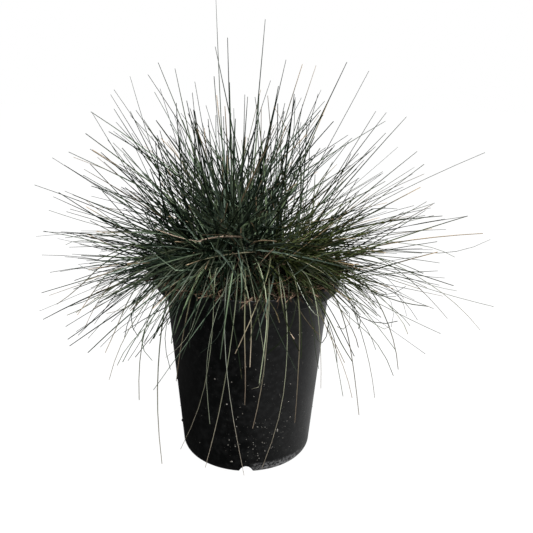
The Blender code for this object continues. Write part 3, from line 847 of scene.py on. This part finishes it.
# %% Tuft leaves
STATIONS = 11
ARCH = 0.30
ROOT_DEPTH = 3 * MM
FOOT_SPREAD, LOWEST_ROOT = 0.26, 0.35
USUAL_REACH, WIDEST_REACH = 200, 178
SHEAF_FAN, OUTER_FAN, YOUNG_FAN = 17.0, 15.0, 28.0
LOWEST_LEAN, WIDEST_FAN = 100, 60
WAVE = 2.2
KINKED_SHARE, BURNT_SHARE, DEAD_SHARE = 0.04, 0.12, 0.02


def fan_leaves(dome, entry, fan, share, random):
    """Lines of one tuft from its leaves' fans, the scatter in degrees, and their shares of its reach.

    The first leaf has no fan, because it is the solid's own. In front the feet of the others lean less.
    """
    azimuth, lean, distance, root_lean = entry
    heart, radius = dome
    count = len(fan)
    others = (fan > 0) * 1.0
    aside, outwards = random.normal(0, 1, (2, count)) * fan
    facing = max(0, -math.sin(math.radians(azimuth)))
    upright = random.uniform(0.3 * facing, 0.4 + 0.5 * facing, count) * others
    root = unit(directions(azimuth, root_lean * (1 - upright))
                + random.normal(0, FOOT_SPREAD, (count, 3)) * others[:, None])
    root[:, 2] = np.maximum(root[:, 2], LOWEST_ROOT)
    root = unit(root)
    foot = heart + root * (radius - ROOT_DEPTH)
    aside = np.clip(aside, -WIDEST_FAN, WIDEST_FAN)
    tip_way = directions(azimuth, np.minimum(lean + outwards, LOWEST_LEAN), aside)
    usual = np.minimum(min(distance, USUAL_REACH) * random.normal(1, 0.1, count),
                       WIDEST_REACH / np.linalg.norm(tip_way[:, :2], axis=-1))
    reach = np.where(others > 0, usual, distance) * share * MM
    tip = heart + tip_way * reach[:, None]
    arch = ARCH + others[:, None] * random.uniform(-0.12, 0.12, (count, 1))
    first_way = unit(root * np.where(others > 0, 0.45, 1.0)[:, None] + unit(tip - foot) * others[:, None])
    span = np.linalg.norm(tip - foot, axis=-1, keepdims=True)
    lines = bezier([foot, foot + first_way * arch * span, tip], STATIONS)
    wave = waves(count, WAVE, STATIONS, random)
    place = np.linspace(0, 1, STATIONS - 1)
    kink = np.radians(random.uniform(15, 50, (count, 1))) * (place > random.uniform(0.45, 0.8, (count, 1)))
    kinked = random.uniform(size=(count, 1)) < KINKED_SHARE
    return bent(lines, bend_axes(tip - foot, random), (wave + kinked * kink) * others[:, None])


def tuft_marks(entry, count, random):
    """Tones and drynesses of a tuft's leaves: most are dark, and all fade in painted shade towards their thin
    tips.

    Low tufts get a little painted light, except in front, where painted shade of the taller ones darkens
    them.
    """
    azimuth, lean = entry[:2]
    outer = np.clip((lean - 30) / 60, 0, 1)
    # painted light: the lower a tuft leans, the brighter its leaves
    tone = np.clip(random.beta(0.40, 1.0, count) * (1.0 + 0.25 * outer), 0, 1)
    # painted shade: low tufts in front are darkened as if the taller ones shaded them
    if 215 < azimuth < 325 and lean > 30:
        tone *= 0.55
    station = np.linspace(0, 1, STATIONS)
    burnt_tip = (random.uniform(size=(count, 1)) < BURNT_SHARE) * np.clip((station - 0.85) / 0.15, 0, 1)
    dead = (random.uniform(size=(count, 1)) < DEAD_SHARE) * 0.9
    # painted shade: the tone fades towards the tip
    return tone[:, None] * (1 - 0.97 * station ** 1.6), np.maximum(burnt_tip, dead)


def add_tuft(number, dome, entry, grown, young, width, finish, slot):
    """Add the sheaf that stands for one tuft of the solids, of grown leaves and young ones.

    Upright tufts have fewer leaves, and the lowest ones in front only a few, because skirt leaves lie there.
    """
    random = np.random.default_rng(100 + number)
    azimuth, lean = entry[:2]
    upright = 1 - min(1, lean / 50)
    grown = round(grown * (1.15 - 0.42 * upright))
    young = round(young * (1 - 0.6 * upright))
    if 225 < azimuth < 315 and lean > 70:
        grown, young = round(0.35 * grown), young // 2
    width *= 1.05 - 0.22 * math.sin(math.radians(lean))
    fan = np.repeat([0, OUTER_FAN if lean > 50 else SHEAF_FAN, YOUNG_FAN], [1, grown, young])
    shortest = 0.38 + 0.14 * upright
    share = np.concatenate([[1], shortest + (1 - shortest) * random.beta(1.7, 1.4, grown),
                            random.uniform(0.38, 0.62, young)])
    count = len(fan)
    lines = fan_leaves(dome, entry, fan, share, random)
    widths = np.clip(random.normal(width, 0.25 * width, count), 0.6, 2.0) * MM
    roll = random.normal(0, 0.7, count)
    tone, dry = tuft_marks(entry, count, random)
    add_sheaf(f"tuft_{number:02d}_leaves", lines, widths, roll, tone, dry, finish, slot,
              [f"leaf_tuft_{number:02d}"])
    return count


leaf_count = 0
for number, entry in enumerate(MAIN_TUFTS + SIDE_TUFTS, 1):
    if number <= len(MAIN_TUFTS):
        leaf_count += add_tuft(number, MAIN_DOME, entry, 30, 15, 1.5, BLUE_LEAF, "leaf_blue")
    else:
        leaf_count += add_tuft(number, SIDE_DOME, entry, 16, 38, 1.3, OLIVE_LEAF, "leaf_olive")
print("leaves in the tufts:", leaf_count)

# %% [markdown]
# ## The trailing leaves
#
# Outer leaves arch over the rim and hang beside the pot. Letting them fall by a simulation would place
# them by chance, so they are drawn. Their curve has four corners: the foot, a point straight out of the
# crown, an outer corner above and outside the rim, and the tip. Beside each leaf of the solids hang one or
# two more with scattered tips, and each of these leaves bows a little sideways.
#
# A skirt of shorter, straighter leaves fills the place between the tufts and the hanging leaves. In front
# most of them end over the soil. Elsewhere they reach well past the rim.

# %% Over the rim
TRAIL_STATIONS = 22


def over_the_rim(tip, rim_azimuth, lift, reach, lean, rise):
    """Lines of leaves that grow from the crown, arch over the rim at an azimuth and end at their tips."""
    corner = directions(rim_azimuth, 90.0) * (RIM_RADIUS + reach)[:, None]
    corner[:, 2] = POT_HEIGHT + lift
    on_side = (corner[:, 0] > SIDE_DOME[0][0])[:, None]
    heart = np.where(on_side, SIDE_DOME[0], MAIN_DOME[0])
    radius = np.where(on_side, SIDE_DOME[1], MAIN_DOME[1])
    outward = corner - heart
    root = directions(np.degrees(np.arctan2(outward[:, 1], outward[:, 0])), lean)
    foot = heart + root * (radius - ROOT_DEPTH)
    return bezier([foot, foot + root * rise[:, None], corner, tip], TRAIL_STATIONS)


def level_place(azimuth, distance, height):
    """Places at an azimuth in degrees, a distance from the pot's axis and a height."""
    place = directions(azimuth, 90.0) * distance[:, None]
    place[:, 2] = height
    return place


def is_in_front(entry):
    """Tell whether a trailing leaf crosses the rim at the front."""
    return 232 < entry[0] < 308


print("trailing leaves in front:", sum(is_in_front(entry) for entry in TRAILING_LEAVES))


# %% Hanging and skirt lines
TRAIL_LEAN = 44
TRAIL_RISE = 32 * MM
TRAIL_LIFT = 42 * MM
TRAIL_REACH = 28 * MM


def trailing_lines(entry, count, random):
    """Lines of one trailing leaf and its companions, which differ in where they cross the rim and end."""
    others = np.ones(count)
    others[0] = 0
    rim_azimuth, tip_azimuth, tip_distance, tip_height = entry[:4]
    tip = level_place(tip_azimuth + random.normal(0, 6, count) * others,
                      (tip_distance + random.uniform(-2, 14, count) * others) * MM,
                      (tip_height + random.uniform(20, 90, count) * others) * MM)
    return over_the_rim(tip, rim_azimuth + random.normal(0, 5, count) * others,
                        TRAIL_LIFT - random.uniform(12 * MM, 36 * MM, count) * others,
                        TRAIL_REACH - random.uniform(6 * MM, 24 * MM, count) * others,
                        TRAIL_LEAN - random.uniform(0, 38, count) * others,
                        TRAIL_RISE + random.uniform(-8, 14, count) * MM * others)


def skirt_lines(entry, count, random):
    """Lines of the nearly straight leaves near a trailing one, which end well outside the rim.

    In front most of them are short: they start high on the crown, cross each other and end over the soil.
    """
    if is_in_front(entry):
        azimuth = entry[0] + random.normal(0, 12, count)
        out = random.uniform(0, 1, count)
        ends_outside = random.uniform(size=count) < 0.36
        tip = level_place(azimuth + random.normal(0, 22, count),
                          np.where(ends_outside, 92 + 22 * out, 46 + 32 * out) * MM,
                          np.where(ends_outside, 162 - 48 * out, 180 - 16 * out) * MM)
        lift = np.where(ends_outside, 14 + 14 * out, 2 + 10 * out) * MM
        reach = np.where(ends_outside, 4 + 8 * out, -44 + 22 * out) * MM
        return over_the_rim(tip, azimuth, lift, reach, random.uniform(2, 26, count),
                            random.uniform(3, 12, count) * MM)
    azimuth = entry[0] + random.normal(0, 14 if 30 < entry[0] < 150 else 9, count)
    out = random.uniform(0, 1, count)
    tip = level_place(azimuth + random.normal(0, 7, count), (100 + 84 * out) * MM,
                      (142 + 18 * out + random.normal(0, 14, count)) * MM)
    return over_the_rim(tip, azimuth, random.uniform(4, 20, count) * MM, random.uniform(0, 16, count) * MM,
                        random.uniform(5, 56, count), random.uniform(8, 22, count) * MM)


# %% Waves, curls and bows
TRAIL_WAVE, TRAIL_CURL, TRAIL_BOW = 7, 32, 9
FRIZZY_SHARE = 0.35
OWN_WAVE, OWN_CURL = 0.12, 0.28    # how much of these the solid's own leaf keeps


def waved_and_curled(lines, entry, companions, random):
    """Wave all the lines, curl their tips and bow the hanging ones sideways; also return how frizzy each is.

    Frizzy leaves, all to the right of the front, wave and curl three times as much.
    """
    count = len(lines)
    axes = bend_axes(lines[:, -1] - lines[:, 0], random)
    frizzy = 1 + 2 * (295 < entry[0] < 340) * (random.uniform(size=(count, 1)) < FRIZZY_SHARE)
    wave = waves(count, TRAIL_WAVE, TRAIL_STATIONS, random)
    place = np.linspace(0, 1, TRAIL_STATIONS - 1)
    curl = np.radians(random.normal(0, TRAIL_CURL, (count, 1))) * np.clip((place - 0.86) / 0.14, 0, 1)
    wave[0] *= OWN_WAVE
    curl[0] *= OWN_CURL
    lines = bent(lines, axes, (wave + curl) * frizzy)
    bulge = random.normal(0, TRAIL_BOW, (count, 1))
    bulge[0] = entry[4]
    bow = bulge * MM * np.sin(math.pi * np.linspace(0, 1, TRAIL_STATIONS) ** 2.6)
    sideways = directions(entry[0], 0.0, 89.0) * bow[..., None]
    lines[:companions] += sideways[:companions]
    return lines, frizzy[:, 0]


# %% Trailing leaves
BRIGHTEST, ITS_TONE = 3, 0.55
WITHERS_FROM, WITHERS_OVER = 0.68, 0.25


def trailing_marks(number, entry, companions, count, random):
    """Tones and drynesses along each leaf, of the hanging leaves first and the skirt after them.

    A hanging leaf is painted dark at its foot and painted light where it hangs in the open, but painted dim
    away from the front. The skirt leaves are painted darker as shade, most in front and towards their tips.
    """
    station = np.linspace(0, 1, TRAIL_STATIONS)
    tone = random.beta(0.6, 1.4, count)[:, None] * np.ones(TRAIL_STATIONS)
    dry_from = random.uniform(0.7, 2.0, (count, 1))
    dry_from[:companions] = random.uniform(0.80, 1.15, (companions, 1))
    dry_from[0] = 0.78
    dry = np.clip((station - dry_from) / WITHERS_OVER, 0, 0.9)
    if number in DRY_LEAVES:
        withered = random.uniform(0.3, 1.0, (companions, 1))
        withered = withered * np.clip((station - WITHERS_FROM) / WITHERS_OVER, 0, 1)
        dry[:companions] = np.maximum(dry[:companions], withered)
    dry[companions:] *= 0.5
    # painted shade at the foot of the hanging leaves, painted light further out where they hang in the open
    tone[:companions] = (0.5 + 0.5 * tone[:companions]) * np.clip(2.6 * station - 0.85, 0.04, 1)
    if number == BRIGHTEST:
        tone[0] = ITS_TONE
    # painted shade: hanging leaves away from the front are dimmed
    if not is_in_front(entry):
        tone[:companions] *= 0.2
        dry[:companions] *= 0.6
    # painted shade: skirt leaves are darkened, most in front, and more towards their tips
    tone[companions:] *= (0.25 if is_in_front(entry) else 0.4) * (1 - 0.6 * station)
    return tone, dry


def add_trailing(number, entry):
    """Add the hanging leaves that stand for one trailing leaf of the solids, and the skirt near them."""
    random = np.random.default_rng(200 + number)
    rightwards = math.cos(math.radians(entry[0]))
    thin_skirt = 170 < entry[0] < 235 or rightwards > 0.9
    companions, skirt = (2, 8) if is_in_front(entry) else (3, 5 if thin_skirt else 8)
    count = companions + skirt
    lines = np.concatenate([trailing_lines(entry, companions, random), skirt_lines(entry, skirt, random)])
    lines, frizzy = waved_and_curled(lines, entry, companions, random)
    tone, dry = trailing_marks(number, entry, companions, count, random)
    is_dry = number in DRY_LEAVES
    widths = np.clip(random.normal(0.70 if is_in_front(entry) else 0.95, 0.15, count), 0.5, 1.4) * MM
    widths[0] = 1.1 * MM if is_dry else 1.25 * MM
    widths[1:] /= frizzy[1:] ** 0.5
    roll = random.normal(0, 0.8, count)
    hanging = (DRY_LEAF, "leaf_straw") if is_dry else (HANGING_LEAF_PAINTED_LIT, "leaf_blue")
    short = (OLIVE_LEAF, "leaf_olive") if rightwards > 0.15 else (BLUE_LEAF, "leaf_blue")
    for part, here, (finish, slot), nodes in (
            ("trailing", slice(0, companions), hanging, [f"trailing_leaf_{number:02d}"]),
            ("skirt", slice(companions, count), short, [])):
        add_sheaf(f"{part}_{number:02d}_leaves", lines[here], widths[here], roll[here], tone[here], dry[here],
                  finish, slot, nodes)


for number, entry in enumerate(TRAILING_LEAVES, 1):
    add_trailing(number, entry)
print("trailing sheaves:", len(TRAILING_LEAVES))

# %% [markdown]
# ## Dead leaves
#
# The crown is wrapped in what died before: short brown stubs of sheaths that stand on it everywhere, and
# thin dry leaves, tan to red-brown, that curl among the green ones and down over the soil. Both are drawn
# like the green leaves, but from one leaf to the next their direction, length and curl vary far more.

# %% Old sheaths and dry leaves
def on_domes(count, random, lowest_lean, highest_lean):
    """Places on the two domes and the ways that point straight out there, more on the main dome."""
    on_side = (random.uniform(size=count) < 0.35)[:, None]
    azimuth = random.uniform(0, 360, count)
    way = directions(azimuth, random.uniform(lowest_lean, highest_lean, count))
    heart = np.where(on_side, SIDE_DOME[0], MAIN_DOME[0])
    radius = np.where(on_side, SIDE_DOME[1], MAIN_DOME[1])
    return heart + way * (radius - ROOT_DEPTH), way


def add_dead(name, finish, count, seed, leans, lengths, widths, droop, curl, scatter):
    """Add dead leaves or stubs: each starts outwards, droops by a share of its length and then curls."""
    random = np.random.default_rng(seed)
    foot, way = on_domes(count, random, *leans)
    length = random.uniform(*lengths, (count, 1)) * MM
    way = unit(way + random.normal(0, scatter, (count, 3)))
    knee = foot + way * length * 0.5
    tip = foot + way * length - np.array([0, 0, 1]) * length * random.uniform(*droop, (count, 1))
    lines = bezier([foot, knee, tip], STATIONS)
    axes = bend_axes(way, random)
    curls = np.radians(random.normal(0, curl, (count, 1))) * np.linspace(0, 1, STATIONS - 1) ** 1.5
    lines = bent(lines, axes, curls)
    lines[..., 2] = np.maximum(lines[..., 2], SOIL_HEIGHT + 0.5 * MM)
    tone, dry = random.uniform(0, 1, count) ** 1.6, random.uniform(0, 1, count) ** 3
    add_sheaf(name, lines, random.uniform(*widths, count) * MM, random.normal(0, 1, count), tone, dry,
              finish, "old_sheaths")
    print(name + ":", count)


OLD_SHEATH = leaf_material("old_sheath", (0.002, 0.0015, 0.001), (0.036, 0.021, 0.014),
                           (0.042, 0.024, 0.014), (0.003, 0.002, 0.0015), (0.100, 0.062, 0.042), 0.85)
DEAD_LEAF = leaf_material("dead_leaf", (0.005, 0.003, 0.002), (0.110, 0.064, 0.042),
                          (0.125, 0.080, 0.048), (0.006, 0.004, 0.003), (0.240, 0.175, 0.125), 0.8)
add_dead("old_sheaths", OLD_SHEATH, 900, 301, leans=(5, 78), lengths=(6, 24), widths=(1.0, 2.2),
         droop=(0.0, 0.4), curl=25, scatter=0.35)
add_dead("dry_leaves", DEAD_LEAF, 760, 302, leans=(40, 84), lengths=(16, 50), widths=(0.5, 1.0),
         droop=(0.1, 0.5), curl=60, scatter=0.8)

# %% [markdown]
# ## Thatch over the rim
#
# Dead leaves also slide outwards until they lie over the pot's rim, all round it. They take the route of
# the trailing leaves, only lower and shorter, and curl hard at their ends.

# %% Thatch
def add_rim_thatch(count, seed):
    """Add short dead leaves that lie over the pot's rim and curl down outside it."""
    random = np.random.default_rng(seed)
    azimuth = random.uniform(0, 360, count)
    tip = level_place(azimuth + random.normal(0, 9, count), random.uniform(84, 97, count) * MM,
                      random.uniform(162, 181, count) * MM)
    lines = over_the_rim(tip, azimuth, random.uniform(1, 7, count) * MM, random.uniform(-3, 6, count) * MM,
                         random.uniform(45, 80, count), random.uniform(3, 10, count) * MM)
    axes = bend_axes(lines[:, -1] - lines[:, 0], random)
    curls = np.radians(random.normal(0, 60, (count, 1))) * np.linspace(0, 1, TRAIL_STATIONS - 1) ** 3
    lines = bent(lines, axes, curls)
    add_sheaf("rim_thatch", lines, random.uniform(0.6, 1.3, count) * MM, random.normal(0, 1, count),
              random.uniform(0, 1, count) ** 1.5, random.uniform(0, 1, count) ** 4, DEAD_LEAF, "old_sheaths")
    print("dead leaves over the rim:", count)


add_rim_thatch(190, 303)

# %% [markdown]
# ## Lying leaves
#
# A few loose leaves have come to rest across the front of the clump. Each is one curve from its start over
# a middle corner to its end, all in millimetres, and has a width in millimetres and a dryness.

# %% Loose leaves
LYING_LEAVES = (
    ((-7, -45, 217), (-27, -47, 219), (-46, -45, 211), 2.6, 1.00),
    ((-38, -58, 216), (-56, -58, 218), (-76, -58, 227), 1.3, 0.90),
    ((6, -48, 205), (-26, -52, 204), (-50, -56, 196), 1.1, 0.30),
    ((24, -44, 204), (44, -50, 200), (62, -56, 190), 1.1, 0.25),
)
LYING_TONE = 0.7
corners = np.array([row[:3] for row in LYING_LEAVES], float) * MM
lying_widths, lying_dryness = np.array([row[3:] for row in LYING_LEAVES]).T
add_sheaf("lying_leaves", bezier(list(corners.transpose(1, 0, 2)), STATIONS), lying_widths * MM,
          np.zeros(len(corners)), np.full(len(corners), LYING_TONE), lying_dryness, DRY_LEAF, "leaf_straw")
print("leaves that lie on the clump:", len(corners))

# %% [markdown]
# ## Specks on the pot
#
# Drops of dried water cling to the front of the wall, most of them low down. They are lumps, placed by
# azimuth and height on the tapered wall. Most are under half a millimetre across, a few up to two. They
# could be painted by the pot's material, but real lumps also catch the light. Three crumbs of soil sit at
# the left edge.

# %% Specks
SPECKS = 300
WALL_CRUMBS = ((187, 70, 0.9), (188, 42, 0.7), (186, 25, 1.1))    # azimuth, height and size in millimetres


def speck_material():
    """Return the pale grey of dried droplets, mottled."""
    made, tree, shader = new_material("dried_specks", 0.7, 0.4)
    patches = use_group(tree, PATCHES, {"Scale": 900.0, "From": 0.35, "To": 0.65})["Mask"]
    fill(tree, shader, {"Base Color": mixed(tree, patches, (0.10, 0.09, 0.075, 1), (0.36, 0.35, 0.32, 1))})
    return made


speck_random = np.random.default_rng(5)
speck_azimuth = speck_random.normal(284, 24, SPECKS)
speck_height = speck_random.triangular(9, 22, 150, SPECKS) * MM
speck_places = level_place(speck_azimuth, wall_radius(speck_height), speck_height)
speck_points, speck_faces = lumps(speck_places, speck_random.gamma(1.4, 0.14, SPECKS) * MM, 6)
add_piece("wall_specks", speck_points, speck_faces, speck_material(), "potting_mix")

crumb_azimuth, crumb_height, crumb_size = np.array(WALL_CRUMBS).T
wall_places = level_place(crumb_azimuth, wall_radius(crumb_height * MM), crumb_height * MM)
wall_points, wall_faces = lumps(wall_places, crumb_size * MM, 7)
add_piece("wall_crumbs", wall_points, wall_faces, SOIL_FINISH, "potting_mix")
print("specks:", len(speck_places), "- crumbs of soil on the wall:", len(wall_places))

# %% [markdown]
# ## Floor, light and camera
#
# The clump stands on a plain pale floor under soft studio light. The strongest light is above and a little
# in front. A weaker one stands in front, one on the right draws a grey gleam down that side of the black
# pot, and one behind lights the leaves from the back. Floor and backdrop are white to the camera, but give
# the clump itself little light, so that they don't wash out the shadows between the leaves.

# %% Floor
FLOOR_REACH = 3.0


def studio_floor():
    """Add a floor that glows white for the camera, and for the gleam that it throws on the pot's right."""
    made, tree, shader = new_material("studio_floor", 0.9, 0.0)
    path = add_node(tree, "ShaderNodeLightPath").outputs
    place = add_node(tree, "ShaderNodeTexCoord").outputs["Object"]
    to_the_right = add_node(tree, "ShaderNodeSeparateXYZ", {0: place}).outputs["X"]
    lit_side = mapped(tree, to_the_right, -5 * MM, 60 * MM, 0.01, 0.52)
    mirrored = reckoned(tree, "MULTIPLY", lit_side, path["Is Glossy Ray"])
    seen = reckoned(tree, "MAXIMUM", mirrored, path["Is Camera Ray"])
    fill(tree, shader, {"Base Color": (0.05, 0.05, 0.05, 1), "Emission Color": (1, 1, 1, 1),
                        "Emission Strength": reckoned(tree, "MAXIMUM", seen, 0.01)})
    corners = [(FLOOR_REACH * x, FLOOR_REACH * y, 0) for x, y in ((-1, -1), (1, -1), (1, 1), (-1, 1))]
    mesh = bpy.data.meshes.new("studio_floor")
    mesh.from_pydata(corners, [], [(0, 1, 2, 3)])
    mesh.materials.append(made)
    floor = bpy.data.objects.new("studio_floor", mesh)
    bpy.context.scene.collection.objects.link(floor)


studio_floor()
print("floor:", 2 * FLOOR_REACH, "m square")


# %% Light
def backdrop():
    """Make the world white where the camera sees it and dim where it lights the clump."""
    world = bpy.data.worlds.new("backdrop")
    world.use_nodes = True
    tree = world.node_tree
    seen = add_node(tree, "ShaderNodeLightPath").outputs["Is Camera Ray"]
    strength = mapped(tree, seen, 0, 1, 0.02, 1.0)
    fill(tree, tree.nodes["Background"], {"Color": (1, 1, 1, 1), "Strength": strength})
    bpy.context.scene.world = world


def turn_towards(thing, aim, roll=0.0):
    """Turn a lamp or a camera so that its -Z axis points at an aim, then roll it about that axis."""
    way = Vector(aim) - Vector(thing.location)
    turn = way.to_track_quat("-Z", "Y").to_matrix() @ Matrix.Rotation(math.radians(roll), 3, "Z")
    thing.rotation_euler = turn.to_euler()


def softbox(name, place, aim, size, power):
    """Add a square area light at a place, facing an aim."""
    light = bpy.data.lights.new(name, "AREA")
    light.size = size
    light.energy = power
    lamp = bpy.data.objects.new(name, light)
    lamp.location = place
    turn_towards(lamp, aim)
    bpy.context.scene.collection.objects.link(lamp)


backdrop()
softbox("top_softbox", (0.10, -0.38, 1.22), (0, 0, 0.2), 0.3, 29)
softbox("front_softbox", (0.30, -1.2, 0.6), (0, 0, 0.15), 0.5, 8)
softbox("right_softbox", (1.1, -0.35, 0.35), (0, 0, 0.15), 0.5, 1.6)
softbox("back_softbox", (-0.5, 1.1, 0.7), (0, 0, 0.2), 0.6, 5.0)

# %% Camera
FOCAL_LENGTH, SENSOR_WIDTH = 50.66, 36
CAMERA_PLACE, CAMERA_AIM = (0, -0.640, 0.3835), (0.0165, 0, 0.177)
CAMERA_ROLL = 1.05

camera_data = bpy.data.cameras.new("camera")
camera_data.lens = FOCAL_LENGTH
camera_data.sensor_width = SENSOR_WIDTH
camera = bpy.data.objects.new("camera", camera_data)
camera.location = CAMERA_PLACE
turn_towards(camera, CAMERA_AIM, CAMERA_ROLL)
bpy.context.scene.collection.objects.link(camera)
bpy.context.scene.camera = camera
bpy.context.scene.view_settings.view_transform = "Standard"
print("camera at", [round(v, 3) for v in camera.location])
